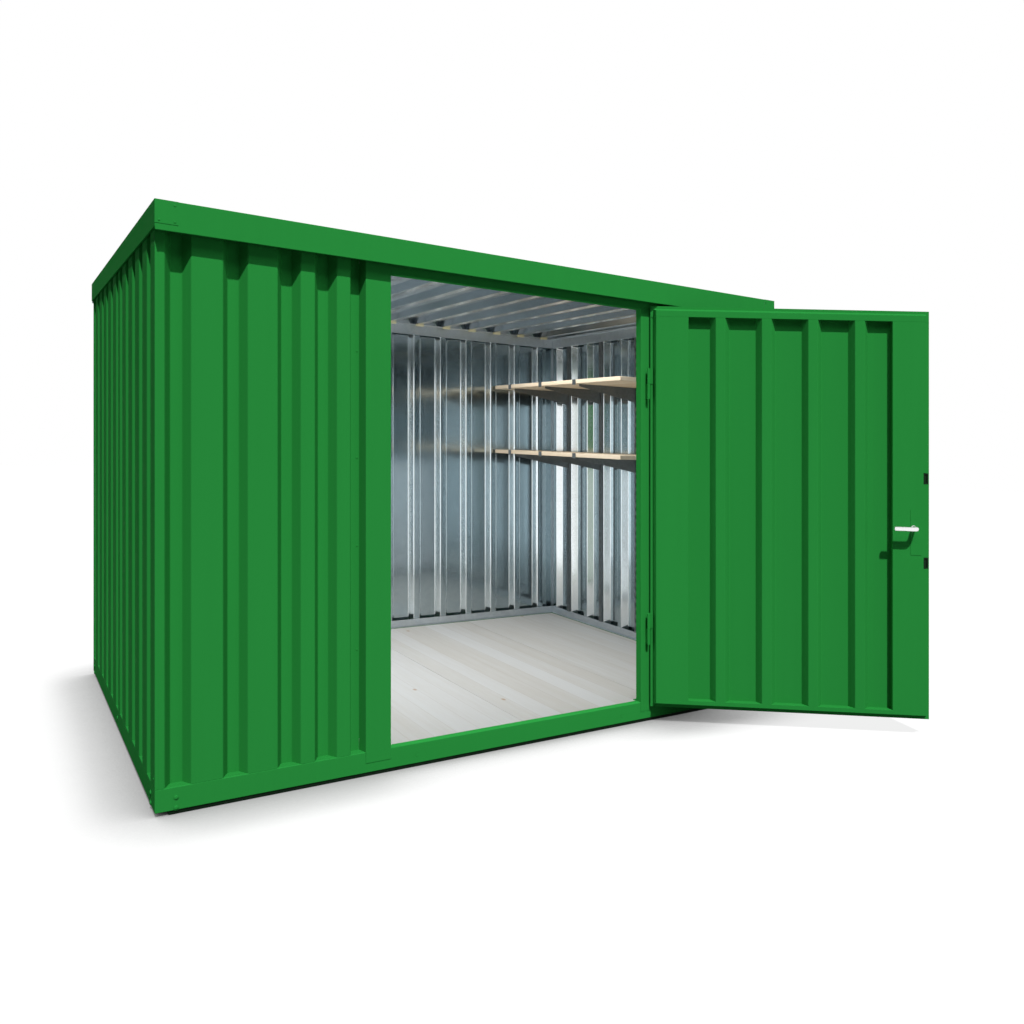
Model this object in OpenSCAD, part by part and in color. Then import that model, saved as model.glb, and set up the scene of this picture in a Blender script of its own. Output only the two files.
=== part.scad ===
// Site storage container: a single-room steel store on a bolted base frame, with
// profiled sheet walls, a fascia round the roof, a boarded floor and one side-hung
// door that opens outwards. Millimetres, +Z up. The origin is on the ground at the
// middle of the roof's outline; the door is in the front, which faces -Y.

/* [Overall] */
// Width of the roof outline, along the front
body_w = 3050; // [2600:10:6000]
// Depth of the roof outline, front to back
body_d = 2170; // [1600:10:3000]
// Height from the ground to the top of the fascia
body_h = 2150; // [2000:10:2600]
// How far the front fascia stands proud of the front wall
eave_front = 50; // [45:1:90]
// How far the other fascias stand proud of their walls
eave_side = 8; // [4:1:20]

/* [Base frame] */
// Height of the runners below the base frame
runner_h = 15; // [10:1:60]
// Width of a runner
runner_w = 45; // [30:1:55]
// How far the runners stop short of the frame's corners
runner_end_gap = 45; // [20:5:200]
// Width of the middle runner, under the joists
middle_runner_w = 60; // [30:5:120]
// Height of a base rail's outer face
base_face_h = 83; // [60:1:140]
// Steel thickness of a base rail
base_t = 2.5; // [1.5:0.5:5]
// Width of a base rail's flanges
base_flange_w = 60; // [52:1:90]
// Width of the base rail's top flange in the doorway, in front of the boards
door_ledge_w = 34; // [20:1:50]

/* [Floor] */
// Thickness of the floor boards
board_t = 21; // [15:1:35]
// How far the floor lies below the door sill
floor_drop = 3; // [3:1:15]
// Number of joists below the boards
joist_count = 6; // [3:1:12]
// Width of a joist's flanges
joist_w = 40; // [30:1:70]
// Height of the angle that holds the foot of each wall
floor_angle_h = 45; // [30:1:80]

/* [Sheet] */
// Thickness of the profiled wall and roof sheets
sheet_t = 1; // [0.75:0.25:2]
// Depth of the wall sheet's profile
sheet_depth = 42; // [30:1:44]
// Width of a full ridge of the wall sheet
ridge_w = 108; // [60:1:160]
// Width of a narrow ridge of the wall sheet
narrow_ridge_w = 54; // [30:1:100]
// Width of a groove of the wall sheet at its mouth
groove_w = 87; // [70:1:130]
// Width of each sloping side of a groove
groove_side_w = 23.5; // [10:0.5:30]
// Depth of the roof sheet's profile
roof_sheet_depth = 35; // [20:1:45]

/* [Corner posts] */
// Width of the part of a corner post that shows beside a wall sheet
post_face_w = 12; // [8:1:25]
// Width of the flange behind a wall sheet's edge
post_flange_w = 16; // [12:1:17]
// Steel thickness behind the sheet
post_t = 2.5; // [1.5:0.5:5]

/* [Doorway] */
// Clear width between the door posts
door_clear_w = 1290; // [800:10:1400]
// Clear height above the sill
door_clear_h = 1915; // [1700:1:1925]
// Width of a door post's flat face
jamb_face_w = 106; // [60:1:130]
// Depth of a door post's reveal
jamb_reveal = 36; // [30:1:42]
// Width of the inner lip of a door post
jamb_lip_w = 22; // [15:1:40]
// Steel thickness of the door posts and head
jamb_t = 2; // [1.5:0.5:4]
// How far the foot of a door post laps down the base rail
jamb_foot_h = 44; // [30:1:70]
// Width of the sloping side between a door post and the wall sheet
jamb_side_w = 12; // [8:1:20]
// Width of the groove floor that the wall sheet and the door post share
jamb_groove_floor = 38; // [25:1:60]

/* [Door leaf] */
// How far the leaf laps over the doorway on every side
leaf_lap = 20; // [15:1:30]
// Thickness of the leaf
leaf_t = 38; // [30:1:40]
// Gap between the closed leaf and the door posts
leaf_gap = 5; // [5:0.5:8]
// Width of the thin rim round the leaf
leaf_rim_w = 14; // [8:1:20]
// Width of the slope from the rim to the raised inner face
leaf_slope_w = 12; // [6:1:20]
// Width of each upright side of the leaf, from its edge
stile_w = 182; // [90:1:220]
// Height of the leaf's top bar, from the leaf's edge
leaf_top_bar_h = 55; // [50:1:120]
// Height of the leaf's bottom bar, from the leaf's edge
leaf_foot_bar_h = 46; // [44:1:120]
// Steel thickness of the leaf
leaf_skin = 1.5; // [1:0.25:3]
// Greatest number of ribs in the leaf's sheet
leaf_ribs = 4; // [2:1:6]
// Spacing of the ribs
leaf_rib_pitch = 220; // [170:1:260]
// Width of the flat top of a rib
leaf_rib_top = 44; // [30:1:70]
// Width of each sloping side of a rib
leaf_rib_side = 24; // [10:1:30]
// How far the leaf stands open in the modelled position, in degrees
door_open_angle = 143; // [0:1:165]

/* [Hinges] */
// Distance from the leaf's edge to the hinge axis
hinge_offset = 9; // [8:0.5:14]
// Radius of a hinge barrel
barrel_r = 7; // [5:0.5:7.5]
// Radius of a hinge pin
pin_r = 4; // [2.5:0.5:5]
// Running clearance round a hinge pin
pin_clear = 0.1; // [0.05:0.05:0.3]
// Height of a hinge
hinge_h = 150; // [90:5:200]
// Height of the upper hinge's centre above the ground
hinge_high_z = 1652; // [1400:1:1800]
// Height of the lower hinge's centre above the ground
hinge_low_z = 458; // [300:1:800]
// Gap between the upper and the lower barrel of a hinge
barrel_gap = 1; // [0.5:0.5:3]
// Thickness of a hinge plate
hinge_plate_t = 3; // [2:0.5:4]

/* [Lock and lever] */
// Height of the lever's spindle above the ground
spindle_z = 995; // [850:1:1200]
// Distance from the leaf's lock edge to the spindle
spindle_inset = 86; // [50:1:90]
// Length of a lever's grip from the spindle
lever_len = 108; // [90:1:150]
// Radius of a lever's bar
lever_r = 11; // [7:0.5:11]
// Distance from the leaf's face to the centre of a lever's grip
lever_standoff = 55; // [40:1:65]
// Radius of the spindle
spindle_r = 5; // [4:0.5:6]
// Clearance round the spindle
spindle_clear = 0.5; // [0.3:0.1:1]
// Width of the lock plate
lock_plate_w = 50; // [35:1:70]
// Height of the lock plate
lock_plate_h = 214; // [150:1:260]
// Thickness of the lock plate
lock_plate_t = 1.5; // [1:0.5:4]
// Share of the lock plate that lies above the spindle
lock_plate_up = 0.4; // [0.2:0.05:0.8]
// Share of the lock plate that lies on the hinge side of the spindle
lock_plate_side = 0.25; // [0.25:0.05:0.5]
// Height of each bolt slot in the leaf's lock edge
bolt_slot_h = 54; // [30:1:80]
// Distance of the bolt slots above and below the spindle, upper then lower
bolt_slot_up = 237; // [150:1:300]
bolt_slot_down = 165; // [150:1:300]
// How far a bolt slot reaches into the leaf's inner face
bolt_slot_in = 12; // [4:1:20]

/* [Roof edge] */
// Height of the front and back fascias
fascia_h = 106; // [90:1:140]
// Height of the side fascias
side_fascia_h = 94; // [90:1:130]
// Steel thickness of the fascias
fascia_t = 1.5; // [1:0.25:3]
// Width of the fascias' top flange
fascia_top_w = 70; // [55:1:120]
// Width of the fascias' bottom return
fascia_return_w = 6; // [4:0.5:20]
// How far a side fascia wraps round each corner
fascia_wrap = 76; // [50:1:150]
// Height of the tabs that wrap round the corners
fascia_tab_h = 82; // [60:1:90]
// Height of a top rail's web
top_rail_h = 68; // [50:1:100]
// Width of a top rail's flanges
top_rail_w = 40; // [25:1:60]
// Steel thickness of a top rail
top_rail_t = 2; // [1.5:0.5:4]

/* [Shelves] */
// Depth of the shelves on the right wall
shelf_d = 480; // [250:10:600]
// Length of the shelves
shelf_len = 1450; // [600:10:1900]
// Thickness of a shelf board
shelf_t = 24; // [18:1:35]
// Height of the lower shelf's top
shelf_low_z = 1290; // [700:10:1400]
// Height of the upper shelf's top
shelf_high_z = 1740; // [1500:10:1850]
// Number of slotted uprights
upright_count = 3; // [2:1:4]
// Ribs of the wall from one upright to the next
upright_step = 2; // [1:1:3]
// Width of an upright, and depth off the wall
upright_w = 30; // [20:1:40]
upright_d = 15; // [10:1:25]
// Steel thickness of an upright
upright_t = 2; // [1.5:0.5:3]
// Height of a bracket at the wall
bracket_h = 95; // [60:1:160]
// Height of a bracket at its tip
bracket_tip_h = 14; // [8:1:30]
// Steel thickness of the brackets
bracket_t = 4; // [2:0.5:6]
// Reach of a bracket as a share of the shelf's depth
bracket_reach = 0.92; // [0.6:0.02:1]
// Clear space between a shelf and the back wall's sheet
shelf_back_gap = 20; // [5:5:100]

/* [Hidden] */

green = [0.15, 0.5, 0.22];
zinc = [0.72, 0.74, 0.76];
pine = [0.85, 0.74, 0.58];
white_metal = [0.93, 0.93, 0.93];
dark = [0.1, 0.12, 0.1];
eps = 1;

// wall box: outer faces of the ridges and of the base frame
wall_left = -body_w / 2 + eave_side;
wall_front = -body_d / 2 + eave_front;
wall_back = body_d / 2 - eave_side;
wall_w = -2 * wall_left;
wall_d = wall_back - wall_front;
wall_mid_y = (wall_front + wall_back) / 2;
wall_in = sheet_depth + sheet_t;

// narrowest flat at the edge of a profiled sheet, in front of a corner post's flange
least_flat = post_flange_w + 2;

// small fixed clearances
sheet_gap = 0.5;
runner_inset = 5;
corner_gap = 0.5;
floor_clear = 1;
roof_clear = 2;
lever_clear = 1;
floor_angle_t = 1.5;

// heights
base_top = runner_h + base_face_h;
floor_top = base_top - floor_drop;
joist_h = floor_top - board_t - runner_h - base_t;
door_top = base_top + door_clear_h;
roof_under = body_h - fascia_t;
rail_top = roof_under - roof_sheet_depth - sheet_t;
rail_bottom = rail_top - top_rail_h;
wall_top = rail_top;

// door leaf, drawn closed and then swung open about the hinge axis
leaf_w = door_clear_w + 2 * leaf_lap;
leaf_h = door_clear_h + 2 * leaf_lap;
leaf_z = base_top - leaf_lap;
jamb_front = wall_front - jamb_t;
leaf_inner_y = jamb_front - leaf_gap;
leaf_outer_y = leaf_inner_y - leaf_t;
leaf_right = door_clear_w / 2 + leaf_lap;
axis_x = leaf_right + hinge_offset;
axis_y = leaf_outer_y + leaf_t / 2;
raised_in = leaf_rim_w + leaf_slope_w;
bolt_slot_w = raised_in + bolt_slot_in;
spindle_inner = leaf_t + lock_plate_t + lever_clear;

// shelves
shelf_back_x = -wall_left - wall_in - upright_d;
shelf_end_y = wall_back - wall_in - shelf_back_gap;

// ---- functions ----

function unit(v) = v / norm(v);
function left_of(v) = [-v[1], v[0]];
function sum_to(list, n) = n == 0 ? 0 : list[n - 1] + sum_to(list, n - 1);

// point i of a folded strip's second face, t to the left of its first face
function mitred(p, i, t) =
    i == 0 ? p[0] + t * left_of(unit(p[1] - p[0])) :
    i == len(p) - 1 ? p[i] + t * left_of(unit(p[i] - p[i - 1])) :
    let (a = left_of(unit(p[i] - p[i - 1])),
         b = left_of(unit(p[i + 1] - p[i])),
         m = (a + b) / 2)
    p[i] + t * m / (m * m);

// outline of a strip of steel of thickness t, folded along the path p
function folded(p, t) = concat(p, [for (i = [len(p) - 1:-1:0]) mitred(p, i, t)]);

// path of a profiled sheet: widths alternate ridge, groove, ridge and so on
function sheet_path(widths, depth, side_w) =
    [[0, 0], for (i = [0:len(widths) - 1])
        let (a = sum_to(widths, i), b = a + widths[i])
        each (i % 2 == 0 ? [[b, 0]] : [[a + side_w, depth], [b - side_w, depth], [b, 0]])];

// widths of n full ridges between n + 1 grooves, with the same flat at each end
function even_widths(length, groove, ridge) =
    let (n = floor((length - groove - 2 * least_flat) / (groove + ridge)),
         end = (length - groove - n * (groove + ridge)) / 2)
    [end, for (i = [1:1:n]) each [groove, ridge], groove, end];

// widths of a side wall: two sheets, with a narrow ridge where they lap
function lapped_widths(length) =
    let (pitch = groove_w + ridge_w,
         n = floor((length - 2 * groove_w - narrow_ridge_w - 2 * least_flat) / pitch),
         first = floor((n - 1) / 2),
         spare = length - 2 * groove_w - narrow_ridge_w - n * pitch,
         front_flat = spare - least_flat)
    [front_flat, for (i = [1:1:first]) each [groove_w, ridge_w],
     groove_w, narrow_ridge_w, groove_w,
     for (i = [1:1:n - first]) each [ridge_w, groove_w], spare - front_flat];

// ---- shared shapes ----

// a folded profile, drawn as [distance in from the outer face, height], swept along X
module swept(length, path, t) {
    translate([-length / 2, 0, 0])
        rotate([90, 0, 90])
            linear_extrude(length)
                polygon(folded(path, t));
}

// keeps what lies inside two 45 degree cuts that start at the outer corners
module mitre_ends(length, deep, low, high) {
    intersection() {
        children();
        translate([0, 0, low])
            linear_extrude(high - low)
                polygon([[-length / 2, 0], [length / 2, 0],
                         [length / 2 - deep, deep], [-length / 2 + deep, deep]]);
    }
}

// places a front piece on the wall box: side 0 front, 1 right, 2 back, 3 left
module on_side(side) {
    if (side == 0) translate([0, wall_front, 0]) children();
    if (side == 1) translate([-wall_left, wall_mid_y, 0]) rotate(90) children();
    if (side == 2) translate([0, wall_back, 0]) rotate(180) children();
    if (side == 3) translate([wall_left, wall_mid_y, 0]) rotate(-90) children();
}

function side_len(side) = side % 2 == 0 ? wall_w : wall_d;

// ---- base frame ----

module base_rail(side) {
    length = side_len(side);
    channel = [[base_flange_w, 0], [0, 0], [0, base_face_h], [base_flange_w, base_face_h]];
    color(green)
        on_side(side)
            translate([0, 0, runner_h])
                mitre_ends(length, base_flange_w + eps, -eps, base_face_h + eps)
                    swept(length, channel, -base_t);
}

module base_rail_front() {
    difference() {
        base_rail(0);
        color(green)
            translate([-door_clear_w / 2, wall_front + door_ledge_w, base_top - base_t - eps / 4])
                cube([door_clear_w, base_flange_w, base_t + eps]);
    }
}

module base_rail_right() { base_rail(1); }
module base_rail_back() { base_rail(2); }
module base_rail_left() { base_rail(3); }

// flat bars on the ground: two under the long rails, and one across under the joists
module base_runners() {
    middle_end = base_flange_w + sheet_gap;
    color(dark) {
        for (side = [0, 2])
            on_side(side)
                translate([-wall_w / 2 + runner_end_gap, runner_inset, 0])
                    cube([wall_w - 2 * runner_end_gap, runner_w, runner_h]);
        translate([-middle_runner_w / 2, wall_front + middle_end, 0])
            cube([middle_runner_w, wall_d - 2 * middle_end, runner_h + base_t]);
    }
}

// ---- floor ----

module floor_joists() {
    span = wall_w - 2 * base_t;
    room = wall_d - 2 * base_flange_w - joist_w;
    channel = [[joist_w, 0], [0, 0], [0, joist_h], [joist_w, joist_h]];
    color(zinc)
        for (i = [0:joist_count - 1])
            translate([0, wall_front + base_flange_w + i * room / (joist_count - 1),
                       runner_h + base_t])
                swept(span, channel, -base_t);
}

module floor_boards() {
    inset = base_t + floor_clear;
    color(pine)
        translate([wall_left + inset, wall_front + inset, floor_top - board_t])
            cube([wall_w - 2 * inset, wall_d - 2 * inset, board_t]);
}

// angles on the base rails' top flanges that hold the feet of the walls
module floor_edge_angles() {
    angle = [[base_flange_w - wall_in, 0], [0, 0], [0, floor_angle_h]];
    color(zinc)
        for (side = [0:3])
            on_side(side)
                translate([0, wall_in, base_top])
                    difference() {
                        mitre_ends(side_len(side) - 2 * (wall_in + corner_gap), base_flange_w,
                                   -eps, floor_angle_h + eps)
                            swept(side_len(side), angle, -floor_angle_t);
                        if (side == 0)
                            translate([-door_clear_w / 2 - jamb_face_w, -eps, -eps])
                                cube([door_clear_w + 2 * jamb_face_w, base_flange_w,
                                      floor_angle_h + 2 * eps]);
                    }
}

// ---- corner posts ----

// outline at the front left corner, with a rebate for each wall sheet
module corner_post(mirror_x, mirror_y) {
    f = post_face_w;
    e = post_face_w + post_flange_w;
    s = sheet_t;
    i = sheet_t + post_t;
    color(green)
        mirror([mirror_x, 0, 0])
            translate([wall_left, mirror_y == 0 ? wall_front : wall_back, base_top])
                mirror([0, mirror_y, 0])
                    linear_extrude(wall_top - base_top)
                        polygon([[0, 0], [f, 0], [f, s], [e, s], [e, i], [i, i],
                                 [i, e], [s, e], [s, f], [0, f]]);
}

module corner_post_front_left() { corner_post(0, 0); }
module corner_post_front_right() { corner_post(1, 0); }
module corner_post_back_left() { corner_post(0, 1); }
module corner_post_back_right() { corner_post(1, 1); }

// ---- walls ----

module sheet_wall(path) {
    color(green)
        translate([post_face_w + sheet_gap, 0, base_top])
            linear_extrude(wall_top - base_top)
                polygon(folded(path, sheet_t));
}

// the sheet beside the doorway ends on the groove floor that it shares with the door post
module front_wall_left() {
    lap_end = wall_w / 2 - door_clear_w / 2 - jamb_face_w - jamb_side_w - sheet_gap;
    length = lap_end - post_face_w - sheet_gap;
    tail = jamb_side_w + jamb_groove_floor - sheet_gap;
    narrow = 2 * (groove_w + narrow_ridge_w);
    full = groove_w + ridge_w;
    n = floor((length - tail - narrow - least_flat) / full);
    first = length - tail - narrow - n * full;
    widths = [first, for (i = [1:1:n]) each [groove_w, ridge_w], groove_w, narrow_ridge_w,
              groove_w, narrow_ridge_w];
    start = sum_to(widths, len(widths));
    path = concat(sheet_path(widths, sheet_depth, groove_side_w),
                  [[start + jamb_side_w, sheet_depth], [length, sheet_depth]]);
    translate([wall_left, wall_front, 0])
        sheet_wall(path);
}

module front_wall_right() {
    mirror([1, 0, 0])
        front_wall_left();
}

module side_wall(side) {
    length = wall_d - 2 * (post_face_w + sheet_gap);
    path = sheet_path(lapped_widths(length), sheet_depth, groove_side_w);
    on_side(side)
        translate([-wall_d / 2, 0, 0])
            sheet_wall(path);
}

module right_wall() { side_wall(1); }

module left_wall() {
    mirror([1, 0, 0])
        side_wall(1);
}

module back_wall() {
    length = wall_w - 2 * (post_face_w + sheet_gap);
    path = sheet_path(even_widths(length, groove_w, ridge_w), sheet_depth, groove_side_w);
    on_side(2)
        translate([-wall_w / 2, 0, 0])
            sheet_wall(path);
}

// ---- doorway ----

// plan of the right door post: lip, reveal, flat face, slope and flange behind the
// sheet, the flange stopping short of the floor angle and the top rail
module door_post_right() {
    slope_end = jamb_face_w + jamb_side_w;
    flange_y = jamb_t + wall_in;
    path = [[jamb_lip_w, jamb_t + jamb_reveal], [0, jamb_t + jamb_reveal], [0, 0],
            [jamb_face_w, 0], [slope_end, flange_y], [slope_end + jamb_groove_floor - eps, flange_y]];
    color(green)
        translate([door_clear_w / 2, jamb_front, 0]) {
            difference() {
                translate([0, 0, base_top])
                    linear_extrude(rail_top - base_top)
                        polygon(folded(path, jamb_t));
                for (z = [base_top - eps, rail_bottom - corner_gap])
                    translate([jamb_face_w, flange_y, z])
                        cube([jamb_face_w, jamb_face_w,
                              z < base_top ? floor_angle_h + eps + corner_gap : rail_top]);
            }
            translate([0, 0, base_top - jamb_foot_h])
                cube([jamb_face_w, jamb_t, jamb_foot_h]);
        }
}

module door_post_left() {
    mirror([1, 0, 0])
        door_post_right();
}

module door_head() {
    path = [[jamb_lip_w, rail_top], [0, rail_top], [0, door_top],
            [jamb_reveal, door_top], [jamb_reveal, door_top + jamb_lip_w]];
    color(green)
        translate([0, jamb_front, 0])
            swept(door_clear_w - 2 * sheet_gap, path, jamb_t);
}

// ---- roof ----

module top_rail(side) {
    length = side_len(side) - 2 * (wall_in + corner_gap);
    channel = [[top_rail_w / 3, 0], [0, 0], [0, top_rail_h], [top_rail_w, top_rail_h]];
    color(zinc)
        on_side(side)
            translate([0, wall_in, rail_bottom])
                mitre_ends(length, top_rail_w + eps, -eps, top_rail_h + eps)
                    swept(length, channel, -top_rail_t);
}

module top_rail_front() { top_rail(0); }
module top_rail_right() { top_rail(1); }
module top_rail_back() { top_rail(2); }
module top_rail_left() { top_rail(3); }

// ribs run front to back; wide flats up, narrow grooves resting on the top rails
module roof_sheet() {
    length = wall_w - 2 * roof_clear;
    widths = even_widths(length, groove_w, ridge_w);
    path = sheet_path(widths, -roof_sheet_depth, groove_side_w);
    color(green)
        translate([-length / 2, wall_back - roof_clear, roof_under])
            rotate([90, 0, 0])
                linear_extrude(wall_d - 2 * roof_clear)
                    polygon(folded(path, -sheet_t));
}

module long_fascia(side) {
    length = body_w - 2 * fascia_t;
    y = body_d / 2 - fascia_t;
    path = [[fascia_return_w, 0], [0, 0], [0, fascia_h], [fascia_top_w, fascia_h]];
    color(green)
        rotate(side * 90)
            translate([0, -y, body_h - fascia_h])
                mitre_ends(length, fascia_top_w + eps, -eps, fascia_h + eps)
                    swept(length, path, -fascia_t);
}

module fascia_front() { long_fascia(0); }
module fascia_back() { long_fascia(2); }

// a side fascia wraps round both corners, over the ends of the long ones
module side_fascia(side) {
    path = [[fascia_return_w, 0], [0, 0], [0, side_fascia_h], [fascia_top_w, side_fascia_h]];
    color(green)
        rotate(side * 90)
            translate([0, -body_w / 2, body_h - side_fascia_h]) {
                mitre_ends(body_d, fascia_top_w + eps, -eps, side_fascia_h + eps)
                    swept(body_d, path, -fascia_t);
                for (s = [0, 1])
                    mirror([s, 0, 0])
                        translate([body_d / 2 - fascia_t, 0, side_fascia_h - fascia_tab_h])
                            cube([fascia_t, fascia_wrap, fascia_tab_h]);
            }
}

module fascia_right() { side_fascia(1); }
module fascia_left() { side_fascia(3); }

// ---- door leaf ----

// swings what is drawn closed to the modelled position
module swung() {
    translate([axis_x, axis_y, 0])
        rotate(door_open_angle)
            translate([-axis_x, -axis_y, 0])
                children();
}

// places leaf coordinates: X from the hinge edge towards the lock edge, Y in from the
// outer face, Z up from the leaf's foot
module on_leaf() {
    translate([leaf_right, leaf_outer_y, leaf_z])
        mirror([1, 0, 0])
            children();
}

// outline across the leaf: a thin rim, and sloping sides up to the inner face
function leaf_section(width) =
    [[0, 0], [width, 0], [width, leaf_skin], [width - leaf_rim_w, leaf_skin],
     [width - raised_in, leaf_t], [raised_in, leaf_t], [leaf_rim_w, leaf_skin], [0, leaf_skin]];

// outer skin with a rim, and the raised inner face
module leaf_shape() {
    intersection() {
        linear_extrude(leaf_h)
            polygon(leaf_section(leaf_w));
        rotate([90, 0, 90])
            linear_extrude(leaf_w)
                polygon([for (p = leaf_section(leaf_h)) [p[1], p[0]]]);
    }
}

// room inside the folded bars and stiles
module leaf_inside() {
    e = leaf_skin;
    foot = leaf_rim_w + e;
    top = raised_in + e;
    intersection() {
        linear_extrude(leaf_h)
            polygon([[foot, e], [leaf_w - foot, e], [leaf_w - top, leaf_t - e], [top, leaf_t - e]]);
        rotate([90, 0, 90])
            linear_extrude(leaf_w)
                polygon([[e, foot], [e, leaf_h - foot], [leaf_t - e, leaf_h - top], [leaf_t - e, top]]);
    }
}

// one hollow bar or stile that fills x0..x1 and z0..z1 of the leaf; the ends named by
// open_low and open_high are open to the next bar
module leaf_bar(x0, x1, z0, z1, open_low, open_high) {
    e = leaf_skin;
    low = open_low ? z0 - e : z0 + e;
    high = open_high ? z1 + e : z1 - e;
    color(green)
        on_leaf()
            difference() {
                intersection() {
                    leaf_shape();
                    translate([x0, 0, z0])
                        cube([x1 - x0, leaf_t, z1 - z0]);
                }
                intersection() {
                    leaf_inside();
                    translate([x0 + (x0 > 0 ? e : 0), 0, low])
                        cube([x1 - x0 - (x0 > 0 ? e : 0) - (x1 < leaf_w ? e : 0), leaf_t, high - low]);
                }
            }
}

module leaf_top_bar() {
    swung()
        difference() {
            leaf_bar(0, leaf_w, leaf_h - leaf_top_bar_h, leaf_h, false, false);
            stile_vents(leaf_h - leaf_top_bar_h - eps);
        }
}

module leaf_bottom_bar() {
    swung()
        difference() {
            leaf_bar(0, leaf_w, 0, leaf_foot_bar_h, false, false);
            stile_vents(leaf_foot_bar_h - leaf_skin - eps);
        }
}

// openings that join the hollow of a bar to the hollow of each stile
module stile_vents(z) {
    vent_w = (stile_w - raised_in) / 2;
    vent_t = leaf_t / 2;
    color(green)
        on_leaf()
            for (x = [raised_in + vent_w / 2, leaf_w - raised_in - vent_w * 1.5])
                translate([x, leaf_t / 4, z])
                    cube([vent_w, vent_t, leaf_skin + 2 * eps]);
}

module leaf_hinge_stile() {
    swung()
        leaf_bar(0, stile_w, leaf_foot_bar_h, leaf_h - leaf_top_bar_h, true, true);
}

module leaf_lock_stile() {
    swung()
        difference() {
            leaf_bar(leaf_w - stile_w, leaf_w, leaf_foot_bar_h, leaf_h - leaf_top_bar_h, true, true);
            color(green)
                on_leaf()
                    for (dz = [bolt_slot_up, -bolt_slot_down])
                        translate([leaf_w - bolt_slot_w, leaf_skin,
                                   spindle_z - leaf_z + dz - bolt_slot_h / 2])
                            cube([bolt_slot_w + eps, leaf_t, bolt_slot_h]);
            color(green)
                on_spindle(-eps)
                    cylinder(r = spindle_r + spindle_clear, h = leaf_t + 2 * eps, $fn = 48);
        }
}

// the leaf's sheet: outer flats flush with the outer face, ribs flush with the inner one
module leaf_sheet() {
    span = leaf_w - 2 * stile_w;
    rib_w = leaf_rib_top + 2 * leaf_rib_side;
    gap = leaf_rib_pitch - rib_w;
    least_end = 20;
    ribs = min(leaf_ribs, 1 + floor((span - rib_w - 2 * least_end) / leaf_rib_pitch));
    end = (span - ribs * rib_w - (ribs - 1) * gap) / 2;
    widths = [end, for (i = [1:1:ribs - 1]) each [rib_w, gap], rib_w, end];
    path = sheet_path(widths, leaf_t - sheet_t, leaf_rib_side);
    color(green)
        swung()
            on_leaf()
                translate([stile_w, 0, leaf_foot_bar_h])
                    linear_extrude(leaf_h - leaf_foot_bar_h - leaf_top_bar_h)
                        polygon(folded(path, sheet_t));
}

// ---- hinges ----

module barrel(z, h) {
    translate([axis_x, axis_y, z])
        cylinder(r = barrel_r, h = h, $fn = 48);
}

// lower barrels with their pins, each on a lug that is welded to the right door post
module frame_hinges() {
    half = (hinge_h - barrel_gap) / 2;
    color(green)
        for (zc = [hinge_low_z, hinge_high_z]) {
            low = zc - hinge_h / 2;
            barrel(low, half);
            translate([axis_x, axis_y, low])
                cylinder(r = pin_r, h = hinge_h, $fn = 48);
            translate([axis_x - hinge_plate_t / 2, axis_y, low])
                cube([hinge_plate_t, jamb_front - axis_y, half]);
        }
}

// upper barrels, each on a folded strap that is welded behind the leaf's rim
module leaf_hinges() {
    half = (hinge_h - barrel_gap) / 2;
    rim_y = leaf_outer_y + leaf_skin;
    strap_x = leaf_right - leaf_rim_w + eps;
    color(green)
        swung()
            for (zc = [hinge_low_z, hinge_high_z])
                translate([0, 0, zc + barrel_gap / 2])
                    difference() {
                        union() {
                            barrel(0, half);
                            translate([axis_x - barrel_r, rim_y, 0])
                                cube([hinge_plate_t, axis_y - rim_y, half]);
                            translate([strap_x, rim_y, 0])
                                cube([axis_x - barrel_r + hinge_plate_t - strap_x, hinge_plate_t, half]);
                        }
                        translate([axis_x, axis_y, -eps])
                            cylinder(r = pin_r + pin_clear, h = half + 2 * eps, $fn = 48);
                    }
}

// ---- lock and levers ----

// places the spindle's own frame: +Y out of the leaf's inner face
module on_spindle(y) {
    on_leaf()
        translate([leaf_w - spindle_inset, y, spindle_z - leaf_z])
            rotate([-90, 0, 0])
                children();
}

module lock_plate() {
    color(green)
        swung()
            on_spindle(leaf_t)
                difference() {
                    translate([-lock_plate_w * lock_plate_side, -lock_plate_h * lock_plate_up, 0])
                        cube([lock_plate_w, lock_plate_h, lock_plate_t]);
                    translate([0, 0, -eps])
                        cylinder(r = spindle_r + spindle_clear, h = lock_plate_t + 2 * eps, $fn = 48);
                }
}

// a bent round bar: the neck, and the grip towards the hinges
module lever() {
    cylinder(r = lever_r, h = lever_standoff, $fn = 48);
    translate([0, 0, lever_standoff]) {
        sphere(r = lever_r, $fn = 48);
        rotate([0, -90, 0])
            cylinder(r = lever_r, h = lever_len, $fn = 48);
    }
}

module lever_inside() {
    color(white_metal)
        swung() {
            on_spindle(spindle_inner)
                lever();
            on_spindle(-lever_clear)
                cylinder(r = spindle_r, h = spindle_inner + lever_clear + eps, $fn = 48);
        }
}

module lever_outside() {
    color(white_metal)
        swung()
            on_spindle(-lever_clear)
                mirror([0, 0, 1])
                    lever();
}

// ---- shelves on the right wall ----

module shelf(z) {
    color(pine)
        translate([shelf_back_x - shelf_d, shelf_end_y - shelf_len, z - shelf_t])
            cube([shelf_d, shelf_len, shelf_t]);
}

module shelf_lower() { shelf(shelf_low_z); }
module shelf_upper() { shelf(shelf_high_z); }

// middle of the nth groove of the right wall, counted from the back
function back_groove_y(n) =
    wall_back - post_face_w - sheet_gap - least_flat - groove_w / 2 - n * (groove_w + ridge_w);

function upright_y(i) = back_groove_y(1 + upright_step * i);

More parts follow.
